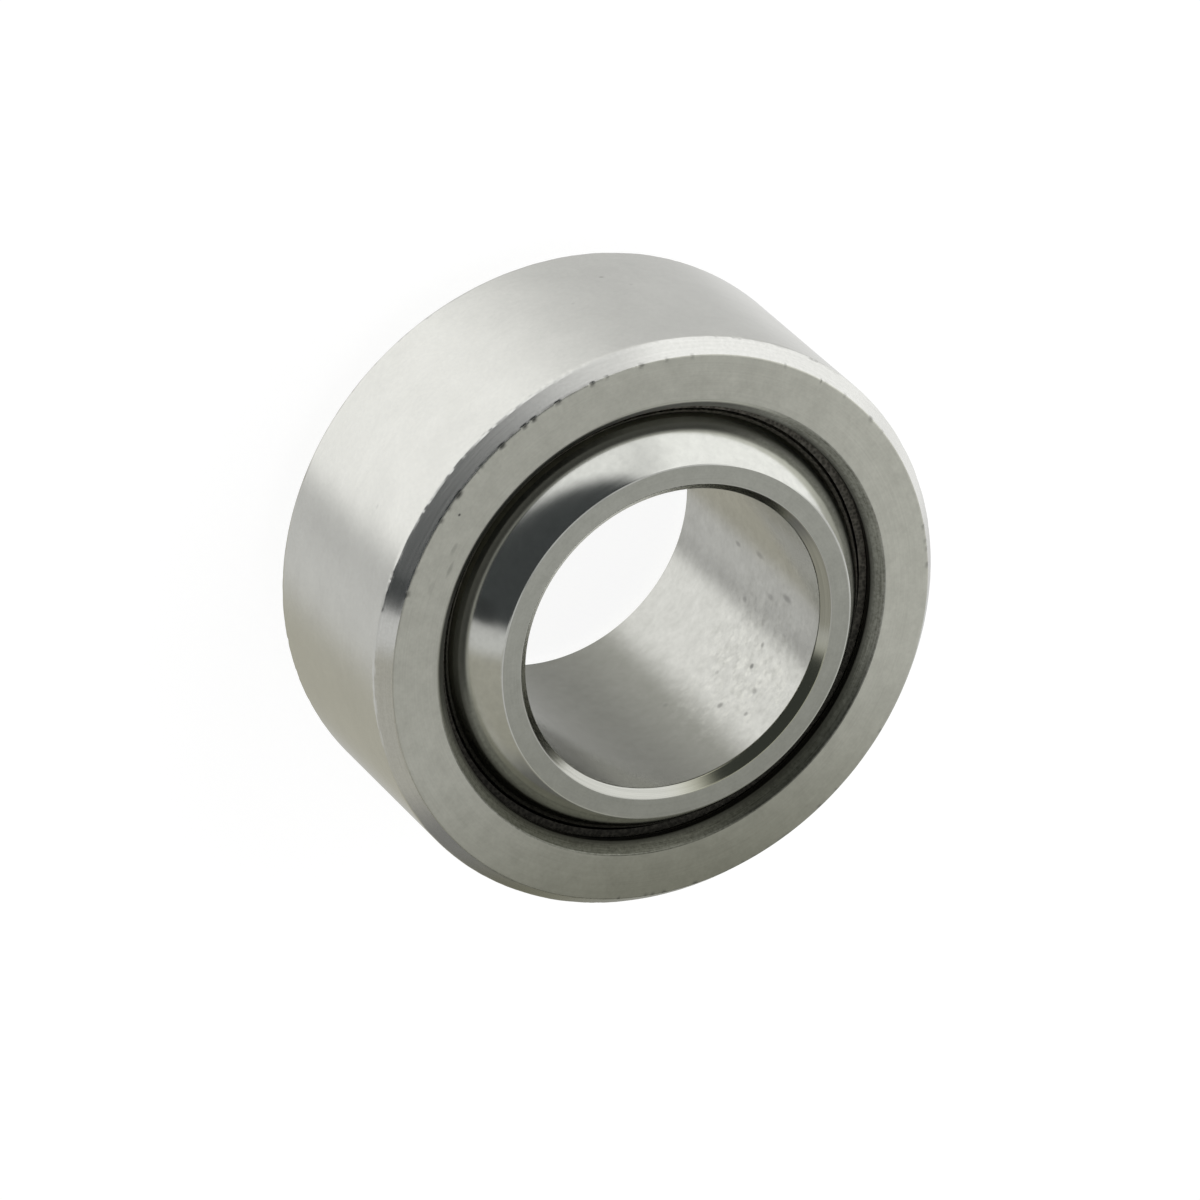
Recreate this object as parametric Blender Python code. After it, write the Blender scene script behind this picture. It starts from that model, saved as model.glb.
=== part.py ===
"""Spherical plain bearing: a ball with a bore, held in a chamfered outer ring by a thin bonded liner.

The common centre of all spherical surfaces is the origin and the bore runs along Z.
Every piece is turned, so each is half a section in the XZ plane spun once round Z.
"""

import math

import bmesh
import bpy
from mathutils import Matrix, Vector

MM = 0.001

# Inner ring, the bored ball
BORE_DIAMETER = 15.875 * MM
INNER_RING_WIDTH = 15.875 * MM
INNER_FACE_LAND = 1.01 * MM
BORE_CHAMFER = 0.44 * MM
BALL_EDGE_BREAK = 0.10 * MM

# Liner, and the room left on each side of it
LINER_THICKNESS = 0.36 * MM
LINER_RECESS = 1.15 * MM
RUNNING_CLEARANCE = 0.08 * MM
BOND_GAP = 0.05 * MM

# Outer ring, whose wall is measured at its thinnest, halfway between the faces
OUTER_RING_WIDTH = 12.7 * MM
OUTER_WALL = 2.298 * MM
OUTER_CHAMFER_RADIAL = 0.64 * MM
OUTER_CHAMFER_AXIAL = 0.92 * MM
MOUTH_CHAMFER = 0.55 * MM
MOUTH_LAND = 0.32 * MM

# Fineness of the turned surfaces
SEGMENTS_ROUND = 96
SPHERE_STEPS = 12

# The ball's edge lies on its sphere where the bore, its chamfer and the face land end
BORE_RADIUS = BORE_DIAMETER / 2
INNER_HALF_WIDTH = INNER_RING_WIDTH / 2
BALL_EDGE_RADIUS = BORE_RADIUS + BORE_CHAMFER + INNER_FACE_LAND
BALL_RADIUS = math.hypot(BALL_EDGE_RADIUS, INNER_HALF_WIDTH)

# The other spheres and the outside follow from the ball outwards
LINER_INNER_RADIUS = BALL_RADIUS + RUNNING_CLEARANCE
LINER_OUTER_RADIUS = LINER_INNER_RADIUS + LINER_THICKNESS
RACE_RADIUS = LINER_OUTER_RADIUS + BOND_GAP
OUTER_RADIUS = RACE_RADIUS + OUTER_WALL
OUTER_HALF_WIDTH = OUTER_RING_WIDTH / 2

FULL_TURN = 2 * math.pi
SHARP_EDGE_ANGLE = math.radians(18)
WELD_DISTANCE = 1e-7

# Colour, roughness and metallic value of each piece
FINISHES = {
    "outer_ring": ((0.62, 0.62, 0.60), 0.32, 1.0),
    "liner": ((0.045, 0.038, 0.030), 0.85, 0.0),
    "inner_ring": ((0.66, 0.66, 0.65), 0.16, 1.0),
}


def clear_scene():
    for obj in list(bpy.data.objects):
        bpy.data.objects.remove(obj, do_unlink=True)


def radius_on_sphere(sphere_radius, height):
    """Radius about Z that a sphere has at this height."""
    return math.sqrt(sphere_radius**2 - height**2)


def sphere_arc(sphere_radius, height, downwards):
    """Section points along a sphere between this height and the same depth below the centre."""
    limit = math.asin(height / sphere_radius)
    start = limit if downwards else -limit
    points = []
    for step in range(SPHERE_STEPS + 1):
        angle = start * (1 - 2 * step / SPHERE_STEPS)
        points.append((sphere_radius * math.cos(angle), sphere_radius * math.sin(angle)))
    return points


def below(points):
    """The same section points mirrored below the mid-plane, in the order that carries the outline on."""
    return [(radius, -height) for radius, height in reversed(points)]


def outer_ring_section():
    face = OUTER_HALF_WIDTH
    raceway_end = face - MOUTH_CHAMFER - MOUTH_LAND
    land_radius = radius_on_sphere(RACE_RADIUS, raceway_end)
    shoulder = [
        (OUTER_RADIUS - OUTER_CHAMFER_RADIAL, face),
        (OUTER_RADIUS, face - OUTER_CHAMFER_AXIAL),
    ]
    raceway = sphere_arc(RACE_RADIUS, raceway_end, downwards=False)
    mouth = [
        (land_radius, face - MOUTH_CHAMFER),
        (land_radius + MOUTH_CHAMFER, face),
    ]
    return shoulder + below(shoulder) + below(mouth) + raceway + mouth


def liner_section():
    end = OUTER_HALF_WIDTH - LINER_RECESS
    outside = sphere_arc(LINER_OUTER_RADIUS, end, downwards=True)
    inside = sphere_arc(LINER_INNER_RADIUS, end, downwards=False)
    return outside + inside


def inner_ring_section():
    face = INNER_HALF_WIDTH
    ball = sphere_arc(BALL_RADIUS, face - BALL_EDGE_BREAK, downwards=True)
    mouth = [
        (BORE_RADIUS, face - BORE_CHAMFER),
        (BORE_RADIUS + BORE_CHAMFER, face),
        (BALL_EDGE_RADIUS - BALL_EDGE_BREAK, face),
    ]
    return ball + below(mouth) + mouth


def turned(name, section):
    """A ring whose section runs down its outer side and up its inner side, spun once round Z."""
    work = bmesh.new()
    corners = [work.verts.new(Vector((radius, 0.0, height))) for radius, height in section]
    edges = [work.edges.new((a, b)) for a, b in zip(corners, corners[1:] + corners[:1])]
    bmesh.ops.spin(
        work,
        geom=corners + edges,
        cent=(0.0, 0.0, 0.0),
        axis=(0.0, 0.0, 1.0),
        angle=FULL_TURN,
        steps=SEGMENTS_ROUND,
        use_merge=True,
    )
    bmesh.ops.remove_doubles(work, verts=work.verts, dist=WELD_DISTANCE)
    bmesh.ops.recalc_face_normals(work, faces=work.faces)
    mesh = bpy.data.meshes.new(name)
    work.to_mesh(mesh)
    work.free()
    mesh.shade_smooth()
    mesh.set_sharp_from_angle(angle=SHARP_EDGE_ANGLE)
    return mesh


def finish(name):
    colour, roughness, metallic = FINISHES[name]
    material = bpy.data.materials.new(name)
    material.use_nodes = True
    shader = material.node_tree.nodes["Principled BSDF"]
    shader.inputs["Base Color"].default_value = (*colour, 1.0)
    shader.inputs["Roughness"].default_value = roughness
    shader.inputs["Metallic"].default_value = metallic
    return material


def add_piece(name, section, parent):
    mesh = turned(name, section)
    mesh.materials.append(finish(name))
    piece = bpy.data.objects.new(name, mesh)
    bpy.context.scene.collection.objects.link(piece)
    piece.parent = parent
    piece.matrix_parent_inverse = Matrix.Identity(4)
    return piece


def add_carrier(name):
    """An empty at the common centre of the spheres, which the pieces of one moving group hang on."""
    carrier = bpy.data.objects.new(name, None)
    carrier.empty_display_size = OUTER_RADIUS
    bpy.context.scene.collection.objects.link(carrier)
    return carrier


def main():
    clear_scene()
    housing_side = add_carrier("housing_side")
    shaft_side = add_carrier("shaft_side")
    add_piece("outer_ring", outer_ring_section(), housing_side)
    add_piece("liner", liner_section(), housing_side)
    add_piece("inner_ring", inner_ring_section(), shaft_side)


main()
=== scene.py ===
"""Looks of the spherical plain bearing: turned steel rings, the liner between them, studio and camera."""

import math
import random

import bmesh
import bpy
from mathutils import Matrix, Vector, noise


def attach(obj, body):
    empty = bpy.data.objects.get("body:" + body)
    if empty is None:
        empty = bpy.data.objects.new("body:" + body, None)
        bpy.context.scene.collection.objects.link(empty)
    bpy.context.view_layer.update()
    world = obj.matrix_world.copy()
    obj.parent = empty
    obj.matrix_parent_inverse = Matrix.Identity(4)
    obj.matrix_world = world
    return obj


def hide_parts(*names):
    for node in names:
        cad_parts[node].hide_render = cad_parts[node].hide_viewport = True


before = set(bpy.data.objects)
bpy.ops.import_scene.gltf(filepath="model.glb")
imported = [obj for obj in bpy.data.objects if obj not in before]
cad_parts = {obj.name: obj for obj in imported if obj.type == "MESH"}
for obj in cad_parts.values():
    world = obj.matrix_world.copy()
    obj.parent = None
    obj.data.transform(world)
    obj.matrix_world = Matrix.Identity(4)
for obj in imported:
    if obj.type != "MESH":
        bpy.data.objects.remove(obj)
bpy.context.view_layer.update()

MM = 0.001

# Inner ring, the bored ball
BORE_RADIUS = 7.9375
INNER_HALF_WIDTH = 7.9375
BORE_CHAMFER = 0.44
BALL_RADIUS = 12.2935

# Liner
LINER_INNER_RADIUS = 12.3735
LINER_OUTER_RADIUS = 12.7335
LINER_HALF_WIDTH = 5.2

# Outer ring
RACE_RADIUS = 12.7835
OUTER_RADIUS = 15.0815
OUTER_HALF_WIDTH = 6.35
OUTER_CHAMFER_RADIAL = 0.64
OUTER_CHAMFER_AXIAL = 0.92
MOUTH_CHAMFER = 0.55
MOUTH_LAND = 0.32

# Fineness of the turned surfaces: steps in a quarter turn, and along each section
OUTER_STEPS = 300
INNER_STEPS = 225
LINER_STEPS = 180
RACEWAY_STEPS = 16
BALL_STEPS = 40
LINER_ARC_STEPS = 14

# Broken edges: their steps and widths, and the two rows of points that keep each rim's rounding local
EDGE_SEGMENTS = 3
RIM_BREAK = 0.05
LAND_BREAK = 0.04
MOUTH_BREAK = 0.08
BALL_BREAK = 0.10
BORE_BREAK = 0.05
SUPPORTS = (0.14, 0.21)
SHARP_EDGE_ANGLE = math.radians(5)
WELD_DISTANCE = 1e-7

# Surfaces are told apart by how much they look outwards or along the axis, from 0 to 1
SQUARE_ON = 0.93
CHAMFER_LEAN = 0.75
BREAK_LEAN = 0.2
BORE_CHAMFER_LEAN = 0.3

# Worn edges of the outer ring: radius and height of each edge, how far from it wear and stains reach,
# how deep the wear goes, and how fine its unevenness is
OUTSIDE_EDGE = (OUTER_RADIUS, OUTER_HALF_WIDTH - OUTER_CHAMFER_AXIAL)
FACE_EDGE = (OUTER_RADIUS - OUTER_CHAMFER_RADIAL, OUTER_HALF_WIDTH)
EDGE_REACH = 0.13
STAIN_REACH = 0.20
EDGE_WANDER = 0.022
WANDER_PER_TURN = 90.0

# Nicks: angle round the axis, half length in degrees, depth in millimetres.
# A nick as deep as FULL_NICK is as dark as any gets.
FULL_NICK = 0.05
NICK_LAYER = "nicks"
OUTSIDE_NICKS = (
    (-62.5, 0.6, 0.02), (-78.0, 0.7, 0.02), (-84.9, 0.8, 0.03), (-88.4, 0.5, 0.02), (-93.9, 1.2, 0.05),
    (-96.3, 0.6, 0.03), (-100.4, 1.0, 0.04), (-104.9, 1.0, 0.05), (-107.6, 0.5, 0.03), (-131.0, 0.6, 0.02),
)
FACE_NICKS = (
    (-60.5, 0.8, 0.03), (-76.3, 0.7, 0.03), (-79.0, 0.6, 0.02), (-82.3, 1.2, 0.05), (-89.2, 0.5, 0.02),
    (-94.7, 1.0, 0.05), (-100.4, 0.8, 0.04), (-102.6, 0.7, 0.05), (-108.2, 0.8, 0.03), (-115.9, 0.7, 0.035),
    (-126.4, 0.7, 0.03), (-131.9, 0.5, 0.02), (-137.4, 0.5, 0.02),
)

# Small nicks scattered round every rim, apart from a stretch of the upper one that the photo shows unmarked
STRAY_NICKS = 46
STRAY_SEED = 11
CLEAN_STRETCH = (-61.0, 30.0)

# Camera: how far the view is tipped down and rolled, and where the bearing sits in it
CAMERA_ELEVATION = math.radians(54.37)
CAMERA_ROLL = math.radians(132.78)
CAMERA_DISTANCE = 548.4 * MM
CAMERA_LENS = 334.5
SENSOR_WIDTH = 36.0
CAMERA_CLIP_START = 0.01
BEARING_RIGHT = 0.3685 * MM
BEARING_UP = 1.0727 * MM

# Floor: where it lies, how far it reaches, and what it gives to the camera and to the bearing
FLOOR_HEIGHT = -INNER_HALF_WIDTH * MM
FLOOR_REACH = 3.0
FLOOR_GLOW = 0.90
FLOOR_MATTE = 0.25
FLOOR_BOUNCE = 0.8

# Sides of the bearing, as angles round the axis: painted shade falls towards one, painted light towards
# another
SHADED_SIDE = 48.0
FACE_SHADED_SIDE = 51.0
MOUTH_SHADED_SIDE = 57.0
LIT_SIDE = 142.0

# Wide places on the steel: angle, height, half turn, half width.
# The near side is the side of the gap nearest to the camera; the mouth and raceway take painted light there,
# and the bore's darker sector is painted shade.
NEAR_SIDE = (-95.0, 0.0, 80.0, 60.0)
NEAR_SOFTNESS = 0.35
CHAMFER_GRIME = (90.0, 0.0, 48.0, 60.0)
BORE_SHADE = (29.0, 0.0, 58.0, 60.0)
BORE_PITTED = (106.0, 3.0, 46.0, 7.0)

# Heights over which the mouth passes from its painted shade deep in the gap to the chamfer, the lip's
# painted light begins, and the ball's painted shade in the gap ends
MOUTH_CHAMFER_FROM = (5.75, 6.1)
LIT_LIP_FROM = (6.12, 6.3)
BALL_UNSHADED_FROM = (5.75, 6.15)

# Turn of the stretched highlights, as a share of a full turn
QUARTER = 0.25

# Noise level that patches rise above: where they cover nothing, and how far it falls where they cover all
PATCH_LEVEL = 0.72
PATCH_LEVEL_FALL = 0.44

# Marks that the photo shows on the steel: angle, height or radius, half turn, half width, strength
OUTSIDE_SPOTS = (
    (-134.5, -2.5, 0.7, 0.12, 0.35), (-138.5, -1.3, 0.5, 0.08, 0.25), (-125.0, -0.4, 0.5, 0.1, 0.15),
    (-70.5, 1.8, 0.6, 0.1, 0.15),
)
BORE_PITS = (
    (102.0, 3.2, 1.6, 0.22, 0.8), (84.0, 3.3, 1.8, 0.25, 0.6), (110.5, 3.1, 1.5, 0.2, 0.5),
    (96.0, 4.6, 1.6, 0.3, 0.45), (88.0, 5.3, 1.4, 0.2, 0.5), (119.0, 0.1, 1.6, 0.3, 0.35),
    (135.5, -1.6, 1.4, 0.4, 0.4), (131.5, 4.0, 1.8, 0.7, 0.45), (138.5, 0.8, 1.6, 0.6, 0.35),
    (127.0, 2.4, 1.6, 0.5, 0.35), (70.5, 0.5, 1.4, 0.2, 0.3), (92.0, 1.2, 1.3, 0.2, 0.3),
)
FACE_PITS = (
    (-79.0, 13.75, 0.45, 0.09, 0.85), (-72.0, 13.0, 1.9, 0.16, 0.22), (-67.5, 12.7, 2.6, 0.14, 0.25),
    (-62.5, 13.3, 2.0, 0.2, 0.12),
)


# Node helpers

def node(tree, kind, inputs=None, **settings):
    made = tree.nodes.new(kind)
    for key, value in settings.items():
        setattr(made, key, value)
    for key, value in (inputs or {}).items():
        if isinstance(value, bpy.types.NodeSocket):
            tree.links.new(value, made.inputs[key])
        else:
            made.inputs[key].default_value = value
    return made


def maths(tree, operation, *values):
    return node(tree, "ShaderNodeMath", dict(enumerate(values)), operation=operation).outputs[0]


def product(tree, first, second):
    return maths(tree, "MULTIPLY", first, second)


def distance(tree, first, second):
    """Length of a line that runs this far in two square directions."""
    squares = [maths(tree, "POWER", side, 2.0) for side in (first, second)]
    return maths(tree, "SQRT", maths(tree, "ADD", *squares))


def ramp(tree, value, low, high, to_low=0.0, to_high=1.0):
    """A smooth rise from one value to the other as the input goes from low to high."""
    return node(
        tree,
        "ShaderNodeMapRange",
        {"Value": value, "From Min": low, "From Max": high, "To Min": to_low, "To Max": to_high},
        interpolation_type="SMOOTHSTEP",
    ).outputs["Result"]


def mix_colour(tree, factor, first, second, blend="MIX"):
    sockets = {0: factor, 6: first, 7: second}
    return node(tree, "ShaderNodeMix", sockets, data_type="RGBA", blend_type=blend).outputs[2]


def new_group(name, inputs, outputs):
    """An empty node group with these named sockets, and its inner input and output nodes."""
    tree = bpy.data.node_groups.new(name, "ShaderNodeTree")
    for socket, (kind, default) in inputs.items():
        made = tree.interface.new_socket(name=socket, in_out="INPUT", socket_type=kind)
        if default is not None:
            made.default_value = default
    for socket, kind in outputs.items():
        tree.interface.new_socket(name=socket, in_out="OUTPUT", socket_type=kind)
    return tree, node(tree, "NodeGroupInput").outputs, node(tree, "NodeGroupOutput").inputs


def use_group(tree, group, **inputs):
    """A node group put to use, with its sockets given as names in small letters."""
    made = node(tree, "ShaderNodeGroup", node_tree=group)
    for key, value in inputs.items():
        socket = made.inputs[key.replace("_", " ").title()]
        if isinstance(value, bpy.types.NodeSocket):
            tree.links.new(value, socket)
        else:
            socket.default_value = value
    return made.outputs


def grey(value):
    return (value, value, value, 1.0)


def steel(value, yellow=0.06, green=0.0):
    """Bare steel of this brightness, with a little less blue, and less red where it is slightly green."""
    return (value * (1 - green), value, value * (1 - yellow), 1.0)


# Shared surface effects

def lathe_places_group():
    """Radius, height and angle of a point on a turned piece, in millimetres and degrees."""
    vector, value = "NodeSocketVector", "NodeSocketFloat"
    tree, given, out = new_group(
        "lathe places",
        {"Position": (vector, None)},
        {"Place": vector, "Radius": value, "Height": value, "Angle": value, "Section": vector,
         "Around": value},
    )
    place = node(
        tree, "ShaderNodeVectorMath", {0: given["Position"], "Scale": 1 / MM}, operation="SCALE",
    ).outputs[0]
    parts = node(tree, "ShaderNodeSeparateXYZ", {0: place}).outputs
    radius = distance(tree, parts[0], parts[1])
    angle = maths(tree, "DEGREES", maths(tree, "ARCTAN2", parts[1], parts[0]))
    across = maths(tree, "DIVIDE", parts[0], radius)
    along = maths(tree, "DIVIDE", parts[1], radius)
    section = node(tree, "ShaderNodeCombineXYZ", {0: radius, 1: parts[2], 2: across}).outputs[0]
    results = {
        "Place": place, "Radius": radius, "Height": parts[2], "Angle": angle, "Section": section,
        "Around": along,
    }
    for key, socket in results.items():
        tree.links.new(socket, out[key])
    return tree


def tool_marks_group():
    """Fine rings left by the lathe or the grinding wheel: noise that runs on round the axis."""
    vector, value = "NodeSocketVector", "NodeSocketFloat"
    tree, given, out = new_group(
        "tool marks",
        {"Section": (vector, None), "Around": (value, 0.0), "Rings": (value, 12.0), "Wander": (value, 0.4),
         "Roughness": (value, 0.6)},
        {"Marks": value},
    )
    rings, wandering = given["Rings"], given["Wander"]
    stretch = node(tree, "ShaderNodeCombineXYZ", {0: rings, 1: rings, 2: wandering}).outputs[0]
    spread = node(
        tree, "ShaderNodeVectorMath", {0: given["Section"], 1: stretch}, operation="MULTIPLY",
    ).outputs[0]
    turn = product(tree, given["Around"], wandering)
    marks = node(
        tree,
        "ShaderNodeTexNoise",
        {"Vector": spread, "W": turn, "Scale": 1.0, "Detail": 4.0, "Roughness": given["Roughness"]},
        noise_dimensions="4D",
    ).outputs[0]
    tree.links.new(marks, out["Marks"])
    return tree


def blotches_group():
    """Uneven patches: handling marks, stains and dull areas."""
    vector, value = "NodeSocketVector", "NodeSocketFloat"
    tree, given, out = new_group(
        "blotches",
        {"Place": (vector, None), "Size": (value, 1.0), "Coverage": (value, 0.3), "Softness": (value, 0.1),
         "Seed": (value, 0.0)},
        {"Patches": value, "Cloud": value},
    )
    scale = maths(tree, "DIVIDE", 1.0, given["Size"])
    cloud = node(
        tree,
        "ShaderNodeTexNoise",
        {"Vector": given["Place"], "W": given["Seed"], "Scale": scale, "Detail": 5.0, "Roughness": 0.6},
        noise_dimensions="4D",
    ).outputs[0]
    edge = maths(tree, "SUBTRACT", PATCH_LEVEL, product(tree, given["Coverage"], PATCH_LEVEL_FALL))
    low = maths(tree, "SUBTRACT", edge, given["Softness"])
    high = maths(tree, "ADD", edge, given["Softness"])
    tree.links.new(ramp(tree, cloud, low, high), out["Patches"])
    tree.links.new(cloud, out["Cloud"])
    return tree


def spot_group():
    """One soft-edged place on a turned piece, given by the angle round the axis and the height or radius."""
    value = "NodeSocketFloat"
    tree, given, out = new_group(
        "spot",
        {"Angle": (value, 0.0), "Distance": (value, 0.0), "At": (value, 0.0), "Along": (value, 0.0),
         "Half Turn": (value, 1.0), "Half Width": (value, 0.1), "Softness": (value, 0.5)},
        {"Mask": value},
    )
    turn = maths(tree, "WRAP", maths(tree, "SUBTRACT", given["Angle"], given["At"]), 180.0, -180.0)
    turn = maths(tree, "DIVIDE", turn, given["Half Turn"])
    width = maths(tree, "SUBTRACT", given["Distance"], given["Along"])
    width = maths(tree, "DIVIDE", width, given["Half Width"])
    inner = maths(tree, "SUBTRACT", 1.0, given["Softness"])
    mask = ramp(tree, distance(tree, turn, width), inner, 1.0, 1.0, 0.0)
    tree.links.new(mask, out["Mask"])
    return tree


def side_tone_group():
    """Mask of painted shade or painted light: nothing on one side of the bearing, more towards the other."""
    vector, value = "NodeSocketVector", "NodeSocketFloat"
    tree, given, out = new_group(
        "painted side tone",
        {"Place": (vector, None), "Toward": (value, 0.0), "Start": (value, 0.0), "End": (value, 1.0)},
        {"Mask": value},
    )
    parts = node(tree, "ShaderNodeSeparateXYZ", {0: given["Place"]}).outputs
    turn = maths(tree, "RADIANS", given["Toward"])
    along_x = product(tree, parts[0], maths(tree, "COSINE", turn))
    along = maths(tree, "MULTIPLY_ADD", parts[1], maths(tree, "SINE", turn), along_x)
    tree.links.new(ramp(tree, along, given["Start"], given["End"]), out["Mask"])
    return tree


LATHE_PLACES = lathe_places_group()
SIDE_TONE = side_tone_group()
TOOL_MARKS = tool_marks_group()
BLOTCHES = blotches_group()
SPOT = spot_group()


class Finish:
    """A material being built, with the places on its piece to hand."""

    def __init__(self, name):
        self.material = bpy.data.materials.new(name)
        self.material.use_nodes = True
        self.tree = self.material.node_tree
        self.shader = self.tree.nodes["Principled BSDF"]
        position = node(self.tree, "ShaderNodeTexCoord").outputs["Object"]
        self.places = use_group(self.tree, LATHE_PLACES, position=position)

    def marks(self, rings, wander=0.4, roughness=0.6):
        return use_group(
            self.tree, TOOL_MARKS, section=self.places["Section"], around=self.places["Around"],
            rings=rings, wander=wander, roughness=roughness,
        )["Marks"]

    def patches(self, size, coverage=0.3, softness=0.1, seed=0.0, output="Patches"):
        return use_group(
            self.tree, BLOTCHES, place=self.places["Place"], size=size, coverage=coverage, softness=softness,
            seed=seed,
        )[output]

    def spot(self, at, along, half_turn, half_width, distance="Height", softness=0.6):
        return use_group(
            self.tree, SPOT, angle=self.places["Angle"], distance=self.places[distance], at=at, along=along,
            half_turn=half_turn, half_width=half_width, softness=softness,
        )["Mask"]

    def shift(self, value, amount, base):
        """base plus a share of a noise value about its middle."""
        centred = maths(self.tree, "SUBTRACT", value, 0.5)
        return maths(self.tree, "MULTIPLY_ADD", centred, amount, base)

    def metal(self, roughness, anisotropy=0.0):
        self.shader.inputs["Metallic"].default_value = 1.0
        if isinstance(roughness, bpy.types.NodeSocket):
            self.tree.links.new(roughness, self.shader.inputs["Roughness"])
        else:
            self.shader.inputs["Roughness"].default_value = roughness
        if anisotropy:
            self.shader.inputs["Anisotropic"].default_value = anisotropy
            self.shader.inputs["Anisotropic Rotation"].default_value = QUARTER
            tangent = node(self.tree, "ShaderNodeTangent", direction_type="RADIAL", axis="Z")
            self.tree.links.new(tangent.outputs[0], self.shader.inputs["Tangent"])

    def colour(self, value):
        self.tree.links.new(value, self.shader.inputs["Base Color"])

    def toned_to_side(self, colour, start, end, tint, toward=SHADED_SIDE):
        """The colour tinted towards one side of the bearing: painted shade where the tint is darker, painted
        light where it is brighter.
        """
        place = self.places["Place"]
        painted_side_tone = use_group(self.tree, SIDE_TONE, place=place, toward=toward, start=start, end=end)["Mask"]
        return mix_colour(self.tree, painted_side_tone, colour, tint, blend="MULTIPLY")

    def laid_over(self, colour, mask, strength, mark):
        """The colour with another laid over it where the mask is, this strongly."""
        return mix_colour(self.tree, product(self.tree, mask, strength), colour, mark)

    def nicked(self, colour):
        """The colour with the nicks on the piece's edges laid over it."""
        nicks = node(self.tree, "ShaderNodeAttribute", attribute_name=NICK_LAYER).outputs["Fac"]
        return self.laid_over(colour, nicks, 0.9, steel(0.12, 0.1))

    def near_side(self):
        """Mask of the side of the gap nearest to the camera."""
        return self.spot(*NEAR_SIDE, softness=NEAR_SOFTNESS)

    def depth_from_face(self, heights):
        """A rise from 0 to 1 between these heights, alike above and below the mid-plane."""
        return ramp(self.tree, maths(self.tree, "ABSOLUTE", self.places["Height"]), *heights)

    def relief(self, height, strength, depth):
        sockets = {"Height": height, "Strength": strength, "Distance": depth * MM}
        bump = node(self.tree, "ShaderNodeBump", sockets)
        self.tree.links.new(bump.outputs[0], self.shader.inputs["Normal"])


def tinted(finish, value, dark, light):
    """Colour between dark and light by a noise value that swings about its middle."""
    swing = ramp(finish.tree, value, 0.25, 0.75)
    return mix_colour(finish.tree, swing, dark, light)


# Steel of the outer ring

def ground_outside():
    finish = Finish("ground outside")
    marks = finish.marks(7.0, 1.2)
    cloud = finish.patches(2.2, output="Cloud")
    grain = finish.patches(0.2, seed=3.0, output="Cloud")
    tone = maths(finish.tree, "MULTIPLY_ADD", grain, 0.45, product(finish.tree, cloud, 0.55))
    colour = tinted(finish, tone, steel(0.685, 0.055), steel(0.765, 0.055))
    pins = finish.patches(0.16, 0.04, 0.02, seed=9.0)
    colour = finish.laid_over(colour, pins, 0.25, steel(0.4, 0.1))
    for *where, strength in OUTSIDE_SPOTS:
        colour = finish.laid_over(colour, finish.spot(*where), strength, steel(0.3, 0.1))
    finish.colour(colour)
    finish.metal(finish.shift(marks, 0.08, 0.22), 0.6)
    finish.relief(maths(finish.tree, "ADD", marks, grain), 0.15, 0.003)
    return finish.material


def turned_chamfer():
    finish = Finish("turned chamfer")
    marks = finish.marks(16.0, 2.0)
    grain = finish.patches(0.15, seed=5.0, output="Cloud")
    tone = maths(finish.tree, "MULTIPLY_ADD", marks, 0.5, product(finish.tree, grain, 0.5))
    colour = tinted(finish, tone, steel(0.65, 0.045, 0.002), steel(0.76, 0.04, 0.0))
    # Painted shade: the chamfer darker towards one side of the bearing.
    colour = finish.toned_to_side(colour, 9.0, 14.0, steel(0.36, 0.35))
    finish.colour(finish.nicked(colour))
    finish.metal(finish.shift(marks, 0.06, 0.19), 0.98)
    finish.relief(tone, 0.2, 0.003)
    return finish.material


def lapped_face():
    finish = Finish("lapped face")
    marks = finish.marks(14.0, 1.6)
    cloud = finish.patches(1.0, output="Cloud")
    grain = finish.patches(0.2, seed=2.0, output="Cloud")
    tone = maths(finish.tree, "MULTIPLY_ADD", marks, 0.25, product(finish.tree, cloud, 0.45))
    tone = maths(finish.tree, "MULTIPLY_ADD", grain, 0.3, tone)
    colour = tinted(finish, tone, steel(0.475, 0.12, 0.004), steel(0.635, 0.11, 0.004))
    # Painted shade: the face darker towards one side of the bearing.
    colour = finish.toned_to_side(colour, 3.0, 17.0, steel(0.46, 0.12), FACE_SHADED_SIDE)
    # Painted light: the face brighter towards another side.
    colour = finish.toned_to_side(colour, 2.0, 14.0, steel(1.14, 0.0), LIT_SIDE)
    for *where, strength in FACE_PITS:
        pit = finish.spot(*where, distance="Radius", softness=0.7)
        colour = finish.laid_over(colour, pit, strength, steel(0.06, 0.1))
    finish.colour(finish.nicked(colour))
    finish.metal(finish.shift(cloud, 0.1, 0.44))
    finish.relief(tone, 0.25, 0.004)
    return finish.material


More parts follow.
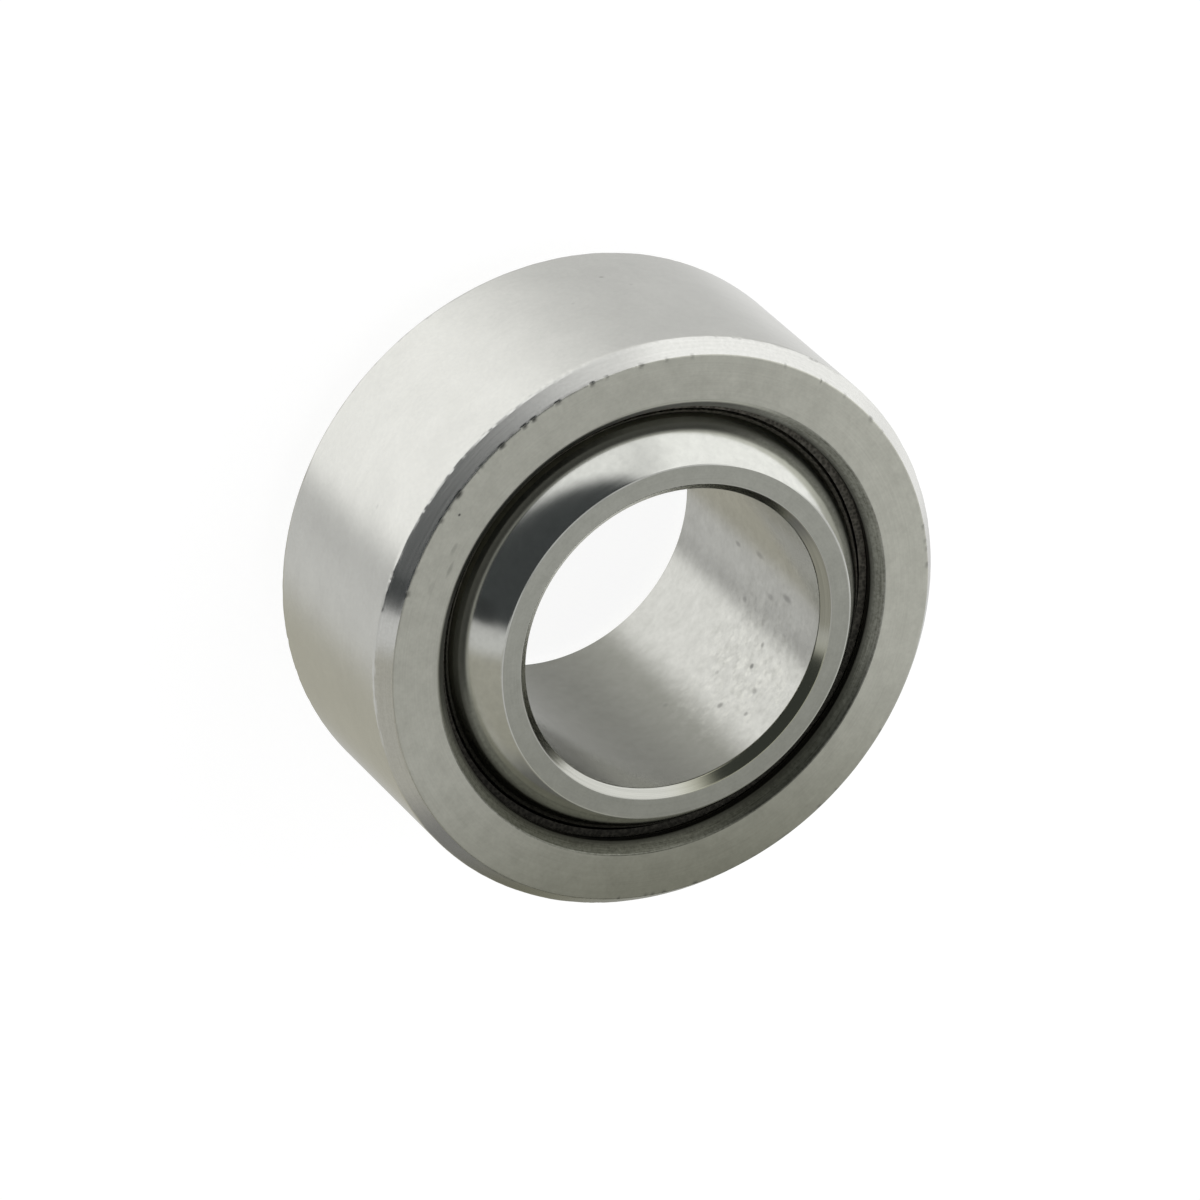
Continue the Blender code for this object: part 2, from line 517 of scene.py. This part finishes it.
def rough_mouth():
    finish = Finish("rough mouth")
    marks = finish.marks(18.0, 6.0)
    grain = finish.patches(0.16, seed=4.0, output="Cloud")
    tone = maths(finish.tree, "MULTIPLY_ADD", marks, 0.5, product(finish.tree, grain, 0.5))
    colour = tinted(finish, tone, steel(0.14, 0.16, 0.01), steel(0.50, 0.10, 0.01))
    # Painted shade: the mouth darker towards one side of the bearing.
    colour = finish.toned_to_side(colour, 2.0, 16.0, steel(0.44, 0.12, 0.01), MOUTH_SHADED_SIDE)
    # Painted light: on the side nearest the camera the lip is lighter, passing to painted shade deeper in.
    lip = finish.depth_from_face(LIT_LIP_FROM)
    near_lip_lit = mix_colour(finish.tree, lip, steel(0.05, 0.12), steel(0.62, 0.1))
    near = product(finish.tree, finish.near_side(), 0.85)
    colour = mix_colour(finish.tree, near, colour, near_lip_lit)
    # Painted shade: the mouth dark deep in the gap, a little lighter on the near side.
    deep = mix_colour(finish.tree, near, steel(0.09, 0.12), steel(0.16, 0.12))
    finish.colour(mix_colour(finish.tree, finish.depth_from_face(MOUTH_CHAMFER_FROM), deep, colour))
    finish.metal(0.32)
    finish.relief(tone, 0.6, 0.010)
    return finish.material


def hidden_raceway():
    finish = Finish("raceway")
    marks = finish.marks(12.0)
    # Painted shade: the raceway dark deep in the gap; painted light makes it lighter on the side nearest the
    # camera.
    colour = tinted(finish, marks, steel(0.18, 0.2), steel(0.26, 0.2))
    finish.colour(mix_colour(finish.tree, finish.near_side(), colour, steel(0.36, 0.16)))
    finish.metal(0.4)
    return finish.material


# Liner

def woven_liner():
    finish = Finish("woven liner")
    weave = node(
        finish.tree, "ShaderNodeTexVoronoi", {"Vector": finish.places["Place"], "Scale": 5.5}, feature="F1",
    ).outputs["Distance"]
    fluff = finish.patches(0.3, output="Cloud")
    swing = ramp(finish.tree, product(finish.tree, weave, fluff), 0.1, 0.45)
    colour = mix_colour(finish.tree, swing, (0.100, 0.095, 0.080, 1.0), (0.240, 0.228, 0.192, 1.0))
    # Painted shade: the liner darker towards one side of the bearing.
    finish.colour(finish.toned_to_side(colour, -4.0, 6.0, grey(0.32)))
    finish.shader.inputs["Roughness"].default_value = 0.95
    finish.shader.inputs["Specular IOR Level"].default_value = 0.2
    finish.relief(weave, 0.6, 0.05)
    return finish.material


# Steel of the inner ring

def polished_ball():
    finish = Finish("polished ball")
    marks = finish.marks(14.0, 1.5)
    cloud = finish.patches(0.5, output="Cloud")
    colour = tinted(finish, cloud, steel(0.62, 0.06, 0.01), steel(0.70, 0.06, 0.01))
    # Painted shade: the ball darker where it lies in the gap under the outer ring.
    gap_shaded = mix_colour(finish.tree, 1.0, colour, grey(0.88), blend="MULTIPLY")
    colour = mix_colour(finish.tree, finish.depth_from_face(BALL_UNSHADED_FROM), gap_shaded, colour)
    # Painted shade: the ball darker towards one side of the bearing.
    finish.colour(finish.toned_to_side(colour, 0.0, 10.0, steel(0.62, 0.10)))
    finish.metal(finish.shift(marks, 0.05, 0.12), 0.3)
    finish.relief(marks, 0.2, 0.002)
    return finish.material


def ground_end_face():
    finish = Finish("ground end face")
    marks = finish.marks(18.0, 2.0)
    grain = finish.patches(0.14, seed=6.0, output="Cloud")
    cloud = finish.patches(0.8, seed=13.0, output="Cloud")
    tone = maths(finish.tree, "MULTIPLY_ADD", marks, 0.3, product(finish.tree, grain, 0.35))
    tone = maths(finish.tree, "MULTIPLY_ADD", cloud, 0.35, tone)
    colour = tinted(finish, tone, steel(0.40, 0.11, 0.015), steel(0.53, 0.10, 0.015))
    # Painted shade: the end face darker towards one side of the bearing.
    finish.colour(finish.toned_to_side(colour, -6.0, 10.0, steel(0.78, 0.02)))
    finish.metal(finish.shift(marks, 0.12, 0.36))
    finish.relief(tone, 0.3, 0.004)
    return finish.material


def bore_chamfer():
    finish = Finish("bore chamfer")
    marks = finish.marks(20.0, 1.5)
    colour = tinted(finish, marks, steel(0.44, 0.08, 0.005), steel(0.56, 0.08, 0.005))
    grime = finish.spot(*CHAMFER_GRIME, softness=0.5)
    finish.colour(mix_colour(finish.tree, grime, colour, steel(0.48, 0.24)))
    finish.metal(finish.shift(marks, 0.08, 0.14))
    finish.relief(marks, 0.3, 0.004)
    return finish.material


def honed_bore():
    finish = Finish("honed bore")
    tree = finish.tree
    cloud = finish.patches(1.1, output="Cloud")
    mottle = finish.patches(0.32, seed=8.0, output="Cloud")
    tone = maths(tree, "MULTIPLY_ADD", mottle, 0.4, product(tree, cloud, 0.6))
    colour = tinted(finish, tone, steel(0.52, 0.07), steel(0.66, 0.06))
    # Painted shade: a darker sector of the bore.
    painted_side_tone = finish.spot(*BORE_SHADE, softness=0.28)
    colour = finish.laid_over(colour, painted_side_tone, 0.66, steel(0.12, 0.25, 0.02))
    pitted = finish.spot(*BORE_PITTED, softness=0.8)
    flecks = finish.patches(0.5, 0.34, 0.16, seed=7.0)
    colour = finish.laid_over(colour, product(tree, flecks, pitted), 0.34, steel(0.25, 0.12))
    glints = finish.patches(0.45, 0.34, 0.14, seed=12.0)
    colour = finish.laid_over(colour, product(tree, glints, pitted), 0.4, steel(0.84, 0.08))
    for *where, strength in BORE_PITS:
        colour = finish.laid_over(colour, finish.spot(*where, softness=0.8), strength, steel(0.125, 0.07))
    finish.colour(colour)
    finish.metal(finish.shift(cloud, 0.12, 0.20), 0.5)
    return finish.material


# Turned pieces

def radius_on_sphere(sphere_radius, height):
    return math.sqrt(sphere_radius**2 - height**2)


def sphere_arc(sphere_radius, height, steps, downwards):
    """Section points along a sphere between this height and the same depth below the centre."""
    limit = math.asin(height / sphere_radius)
    start = limit if downwards else -limit
    angles = [start * (1 - 2 * step / steps) for step in range(steps + 1)]
    return [(sphere_radius * math.cos(angle), sphere_radius * math.sin(angle), 0.0) for angle in angles]


def below(points):
    """The same section points mirrored below the mid-plane, in the order that carries the outline on."""
    return [(radius, -height, broken) for radius, height, broken in reversed(points)]


def outer_ring_section():
    """Section corners as radius, height and width of the broken edge, down the outside and up the inside."""
    face = OUTER_HALF_WIDTH
    raceway_end = face - MOUTH_CHAMFER - MOUTH_LAND
    land_radius = radius_on_sphere(RACE_RADIUS, raceway_end)
    slope = math.atan2(OUTER_CHAMFER_AXIAL, OUTER_CHAMFER_RADIAL)
    run, drop = math.cos(slope), math.sin(slope)
    near, far = SUPPORTS
    shoulder = [
        (FACE_EDGE[0] - far, face, 0.0),
        (FACE_EDGE[0] - near, face, 0.0),
        (*FACE_EDGE, RIM_BREAK),
        (FACE_EDGE[0] + near * run, face - near * drop, 0.0),
        (FACE_EDGE[0] + far * run, face - far * drop, 0.0),
        (OUTSIDE_EDGE[0] - far * run, OUTSIDE_EDGE[1] + far * drop, 0.0),
        (OUTSIDE_EDGE[0] - near * run, OUTSIDE_EDGE[1] + near * drop, 0.0),
        (*OUTSIDE_EDGE, RIM_BREAK),
        (OUTSIDE_EDGE[0], OUTSIDE_EDGE[1] - near, 0.0),
        (OUTSIDE_EDGE[0], OUTSIDE_EDGE[1] - far, 0.0),
    ]
    raceway = sphere_arc(RACE_RADIUS, raceway_end, RACEWAY_STEPS, downwards=False)
    mouth = [
        (land_radius, face - MOUTH_CHAMFER, LAND_BREAK),
        (land_radius + MOUTH_CHAMFER, face, MOUTH_BREAK),
    ]
    return shoulder + below(shoulder) + below(mouth) + raceway + mouth


def liner_section():
    outside = sphere_arc(LINER_OUTER_RADIUS, LINER_HALF_WIDTH, LINER_ARC_STEPS, downwards=True)
    inside = sphere_arc(LINER_INNER_RADIUS, LINER_HALF_WIDTH, LINER_ARC_STEPS, downwards=False)
    return outside + inside


def inner_ring_section():
    face = INNER_HALF_WIDTH
    ball = sphere_arc(BALL_RADIUS, face, BALL_STEPS, downwards=True)
    for end in (0, -1):
        ball[end] = (*ball[end][:2], BALL_BREAK)
    mouth = [
        (BORE_RADIUS, face - BORE_CHAMFER, BORE_BREAK),
        (BORE_RADIUS + BORE_CHAMFER, face, BORE_BREAK),
    ]
    return ball + below(mouth) + mouth


def turned(section, quarter_steps):
    """A ring whose section is broken at its corners, spun a quarter turn round Z and mirrored twice."""
    work = bmesh.new()
    corners = [work.verts.new(Vector((radius, 0.0, height)) * MM) for radius, height, _ in section]
    for first, second in zip(corners, corners[1:] + corners[:1]):
        work.edges.new((first, second))
    for corner, (_, _, broken) in zip(corners, section):
        if broken:
            bmesh.ops.bevel(
                work, geom=[corner], affect="VERTICES", offset=broken * MM, offset_type="OFFSET",
                segments=EDGE_SEGMENTS, profile=0.5, material=-1,
            )
    bmesh.ops.spin(
        work, geom=work.verts[:] + work.edges[:], cent=(0, 0, 0), axis=(0, 0, 1),
        angle=math.pi / 2, steps=quarter_steps,
    )
    for axis in "XY":
        whole = work.verts[:] + work.edges[:] + work.faces[:]
        bmesh.ops.mirror(work, geom=whole, matrix=Matrix.Identity(4), merge_dist=WELD_DISTANCE, axis=axis)
    bmesh.ops.remove_doubles(work, verts=work.verts, dist=WELD_DISTANCE)
    bmesh.ops.recalc_face_normals(work, faces=work.faces)
    return work


def wander(angle, seed):
    """Uneven depth of wear round an edge: 0 or more, often near a half, the same each run."""
    spread = WANDER_PER_TURN / (2 * math.pi)
    coarse = noise.noise(Vector((math.cos(angle) * spread, math.sin(angle) * spread, seed)))
    fine = noise.noise(Vector((math.cos(angle) * spread * 3, math.sin(angle) * spread * 3, seed + 5)))
    return max(0.0, 0.45 + 0.9 * coarse + 0.5 * fine)


def dent_at(angle, nicks):
    """Depth of the deepest nick at this angle, in millimetres."""
    dent = 0.0
    for at, half_turn, nick_depth in nicks:
        turn = abs((math.degrees(angle) - at + 180) % 360 - 180) / half_turn
        if turn < 1:
            dent = max(dent, nick_depth * (1 - turn**2))
    return dent


def wear_edge(work, edge, lean, nicks, grimy, seed):
    """Wears the edge at this radius and height back into the metal, unevenly, with deeper nicks."""
    layer = work.verts.layers.float.get(NICK_LAYER) or work.verts.layers.float.new(NICK_LAYER)
    outwards, up = lean
    for vert in work.verts:
        radius = math.hypot(vert.co.x, vert.co.y)
        away = math.hypot(radius / MM - edge[0], vert.co.z / MM - edge[1])
        if away >= STAIN_REACH:
            continue
        angle = math.atan2(vert.co.y, vert.co.x)
        fade = max(0.0, 1 - away / EDGE_REACH)
        dent = dent_at(angle, nicks)
        if grimy:
            stain = min(1.0, (1 - away / STAIN_REACH) * 1.5)
            vert[layer] = max(vert[layer], min(1.0, dent / FULL_NICK) * stain)
        sunk = (EDGE_WANDER * wander(angle, seed) + dent) * fade * MM
        vert.co.x -= vert.co.x / radius * outwards * sunk
        vert.co.y -= vert.co.y / radius * outwards * sunk
        vert.co.z -= up * sunk


def stray_nicks(draws):
    """Small nicks at random places: angle, half length and depth."""
    return tuple(
        (draws.uniform(-180, 180), draws.uniform(0.3, 0.8), draws.uniform(0.01, 0.035))
        for _ in range(STRAY_NICKS)
    )


def outside_clean_stretch(nicks):
    """The nicks without those in the stretch of the upper rim that the photo shows unmarked."""
    start, end = CLEAN_STRETCH
    return tuple(nick for nick in nicks if not start < nick[0] < end)


def wear_outer_ring(work):
    """Both rims are worn alike, and the marks that the photo shows are on the upper one."""
    draws = random.Random(STRAY_SEED)
    edges = (
        (OUTSIDE_EDGE, (0.95, 0.3), OUTSIDE_NICKS, False, 1.0),
        (FACE_EDGE, (0.3, 0.95), FACE_NICKS, True, 2.0),
    )
    for side in (1, -1):
        for edge, lean, seen, grimy, seed in edges:
            nicks = stray_nicks(draws)
            if side == 1:
                nicks = outside_clean_stretch(nicks) + seen
            wear_edge(work, (edge[0], side * edge[1]), (lean[0], side * lean[1]), nicks, grimy, side * seed)


def slopes(face):
    """How much a face looks outwards from the axis and how much along it."""
    centre = face.calc_center_median()
    radius = math.hypot(centre.x, centre.y)
    outwards = (face.normal.x * centre.x + face.normal.y * centre.y) / radius
    return outwards, abs(face.normal.z)


def outer_ring_zone(face):
    """Which material of the outer ring a face takes: outside, chamfer, end face, mouth or raceway."""
    outwards, along = slopes(face)
    if outwards > SQUARE_ON:
        return 0
    if outwards > CHAMFER_LEAN:
        return 1
    if outwards > BREAK_LEAN or along > SQUARE_ON:
        return 2
    raceway_end = OUTER_HALF_WIDTH - MOUTH_CHAMFER - MOUTH_LAND
    return 4 if abs(face.calc_center_median().z) / MM < raceway_end else 3


def inner_ring_zone(face):
    """Which material of the inner ring a face takes: ball, end face, bore chamfer or bore."""
    outwards, along = slopes(face)
    if along > SQUARE_ON:
        return 1
    if outwards > 0:
        return 0
    return 2 if along > BORE_CHAMFER_LEAN else 3


def add_piece(name, work, zone, materials, body, node_name):
    if zone:
        for face in work.faces:
            face.material_index = zone(face)
    mesh = bpy.data.meshes.new(name)
    work.to_mesh(mesh)
    work.free()
    mesh.shade_smooth()
    mesh.set_sharp_from_angle(angle=SHARP_EDGE_ANGLE)
    for material in materials:
        mesh.materials.append(material)
    piece = bpy.data.objects.new(name, mesh)
    bpy.context.scene.collection.objects.link(piece)
    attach(piece, body)
    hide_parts(node_name)


# Studio

def floor_material():
    """White to the camera apart from the bearing's soft shadow; metal sees the studio through it."""
    material = bpy.data.materials.new("studio floor")
    material.use_nodes = True
    tree = material.node_tree
    tree.nodes.clear()
    rays = node(tree, "ShaderNodeLightPath").outputs
    matte = node(tree, "ShaderNodeBsdfDiffuse", {"Color": grey(FLOOR_MATTE)}).outputs[0]
    glow = node(tree, "ShaderNodeEmission", {"Color": grey(1.0), "Strength": FLOOR_GLOW}).outputs[0]
    lit = node(tree, "ShaderNodeAddShader", {0: matte, 1: glow}).outputs[0]
    plain = node(tree, "ShaderNodeBsdfDiffuse", {"Color": grey(FLOOR_BOUNCE)}).outputs[0]
    seen = node(tree, "ShaderNodeMixShader", {0: rays["Is Camera Ray"], 1: plain, 2: lit}).outputs[0]
    mirrored = maths(tree, "MAXIMUM", rays["Is Glossy Ray"], rays["Is Transmission Ray"])
    clear = node(tree, "ShaderNodeBsdfTransparent").outputs[0]
    surface = node(tree, "ShaderNodeMixShader", {0: mirrored, 1: seen, 2: clear}).outputs[0]
    node(tree, "ShaderNodeOutputMaterial", {"Surface": surface})
    return material


def add_floor():
    work = bmesh.new()
    bmesh.ops.create_grid(work, x_segments=1, y_segments=1, size=FLOOR_REACH)
    bmesh.ops.translate(work, verts=work.verts, vec=(0, 0, FLOOR_HEIGHT))
    mesh = bpy.data.meshes.new("floor")
    work.to_mesh(mesh)
    work.free()
    mesh.materials.append(floor_material())
    floor = bpy.data.objects.new("floor", mesh)
    bpy.context.scene.collection.objects.link(floor)


# Each light or card round the bearing: azimuth range, softness of its two sides, elevation range,
# softness of its foot and head, how much its foot rises per degree, tone
STUDIO_TONE = grey(0.66)
STUDIO_CARDS = {
    "ceiling": ((-180, 180), (1, 1), (42, 90), 14, 0, grey(0.58)),
    "front floor": ((-142, -42), (34, 6), (-90, 6), 5, 0, grey(1.1)),
    "front wall": ((-142, -90), (20, 10), (0, 22), 5, 0, grey(1.05)),
    "shaded floor": ((6, 68), (8, 12), (-90, -12), 8, 0, (0.465, 0.452, 0.39, 1.0)),
    "floor streak": ((-37, -25), (4, 4), (-90, -12), 8, 0, grey(0.56)),
    "back floor": ((92, 130), (6, 8), (-90, -36), 6, 0, grey(0.85)),
    "window": ((140, 212), (6, 10), (-22, 50), 6, 0, grey(1.2)),
    "window foot": ((113, 148), (8, 4), (-42, -12), 6, 0, grey(1.15)),
    "right wall": ((-24, 44), (4, 12), (-8, 34), 8, 0, (0.43, 0.42, 0.37, 1.0)),
    "dark corner": ((24, 84), (10, 14), (-26, 12), 6, 0, grey(0.2)),
    "camera side": ((-138, -37), (8, 4), (5, 70), 4, -0.3, (0.058, 0.063, 0.066, 1.0)),
    "streak foot": ((-47, -37), (1.2, 1.5), (-24, 12), 4, 0, (0.041, 0.044, 0.046, 1.0)),
}


def card_group():
    """Mask of one card in the world: a patch of directions with soft sides."""
    vector, value = "NodeSocketVector", "NodeSocketFloat"
    sockets = ("Middle", "Half Span", "Start Softness", "End Softness", "Low", "High", "Softness", "Slope")
    tree, given, out = new_group(
        "studio card",
        {"Direction": (vector, None), **{name: (value, 0.0) for name in sockets}},
        {"Mask": value},
    )
    parts = node(tree, "ShaderNodeSeparateXYZ", {0: given["Direction"]}).outputs
    azimuth = maths(tree, "DEGREES", maths(tree, "ARCTAN2", parts[1], parts[0]))
    elevation = maths(tree, "DEGREES", maths(tree, "ARCSINE", parts[2]))
    turn = maths(tree, "WRAP", maths(tree, "SUBTRACT", azimuth, given["Middle"]), 180.0, -180.0)
    start = product(tree, given["Half Span"], -1.0)
    foot = maths(tree, "MULTIPLY_ADD", turn, given["Slope"], given["Low"])
    masks = []
    for value_in, edge, softness, rising in (
        (turn, start, given["Start Softness"], True),
        (turn, given["Half Span"], given["End Softness"], False),
        (elevation, foot, given["Softness"], True),
        (elevation, given["High"], given["Softness"], False),
    ):
        low = maths(tree, "SUBTRACT", edge, softness)
        high = maths(tree, "ADD", edge, softness)
        masks.append(ramp(tree, value_in, low, high, *((0.0, 1.0) if rising else (1.0, 0.0))))
    mask = product(tree, product(tree, masks[0], masks[1]), product(tree, masks[2], masks[3]))
    tree.links.new(mask, out["Mask"])
    return tree


def add_studio():
    """Soft studio light round the bearing. The camera itself sees plain white."""
    world = bpy.data.worlds.new("studio")
    bpy.context.scene.world = world
    world.use_nodes = True
    tree = world.node_tree
    tree.nodes.clear()
    direction = node(tree, "ShaderNodeTexCoord").outputs["Generated"]
    card = card_group()
    tone = STUDIO_TONE
    for (start, end), (start_soft, end_soft), (low, high), softness, slope, colour in STUDIO_CARDS.values():
        mask = use_group(
            tree, card, direction=direction, middle=(start + end) / 2, half_span=(end - start) / 2,
            start_softness=start_soft, end_softness=end_soft, low=low, high=high, softness=softness,
            slope=slope,
        )["Mask"]
        tone = mix_colour(tree, mask, tone, colour)
    studio = node(tree, "ShaderNodeBackground", {"Color": tone, "Strength": 1.0}).outputs[0]
    white = node(tree, "ShaderNodeBackground", {"Color": grey(1.0), "Strength": 1.0}).outputs[0]
    camera_ray = node(tree, "ShaderNodeLightPath").outputs["Is Camera Ray"]
    surface = node(tree, "ShaderNodeMixShader", {0: camera_ray, 1: studio, 2: white}).outputs[0]
    node(tree, "ShaderNodeOutputWorld", {"Surface": surface})


def add_camera():
    tip, roll = CAMERA_ELEVATION, CAMERA_ROLL
    level_right = Vector((1, 0, 0))
    level_up = Vector((0, math.sin(tip), math.cos(tip)))
    back = Vector((0, -math.cos(tip), math.sin(tip)))
    right = math.cos(roll) * level_right + math.sin(roll) * level_up
    up = math.cos(roll) * level_up - math.sin(roll) * level_right
    data = bpy.data.cameras.new("camera")
    data.lens = CAMERA_LENS
    data.sensor_width = SENSOR_WIDTH
    data.clip_start = CAMERA_CLIP_START
    camera = bpy.data.objects.new("camera", data)
    bpy.context.scene.collection.objects.link(camera)
    place = back * CAMERA_DISTANCE - right * BEARING_RIGHT - up * BEARING_UP
    camera.matrix_world = Matrix.Translation(place) @ Matrix((right, up, back)).transposed().to_4x4()
    bpy.context.scene.camera = camera


def add_bearing():
    outer_ring = turned(outer_ring_section(), OUTER_STEPS)
    wear_outer_ring(outer_ring)
    add_piece(
        "outer_ring_steel", outer_ring, outer_ring_zone,
        [ground_outside(), turned_chamfer(), lapped_face(), rough_mouth(), hidden_raceway()],
        "outer", "outer_ring",
    )
    add_piece(
        "liner_band", turned(liner_section(), LINER_STEPS), None, [woven_liner()],
        "outer", "liner",
    )
    add_piece(
        "inner_ring_steel", turned(inner_ring_section(), INNER_STEPS), inner_ring_zone,
        [polished_ball(), ground_end_face(), bore_chamfer(), honed_bore()],
        "inner", "inner_ring",
    )


add_bearing()
add_floor()
add_studio()
add_camera()
bpy.context.scene.view_settings.view_transform = "Standard"
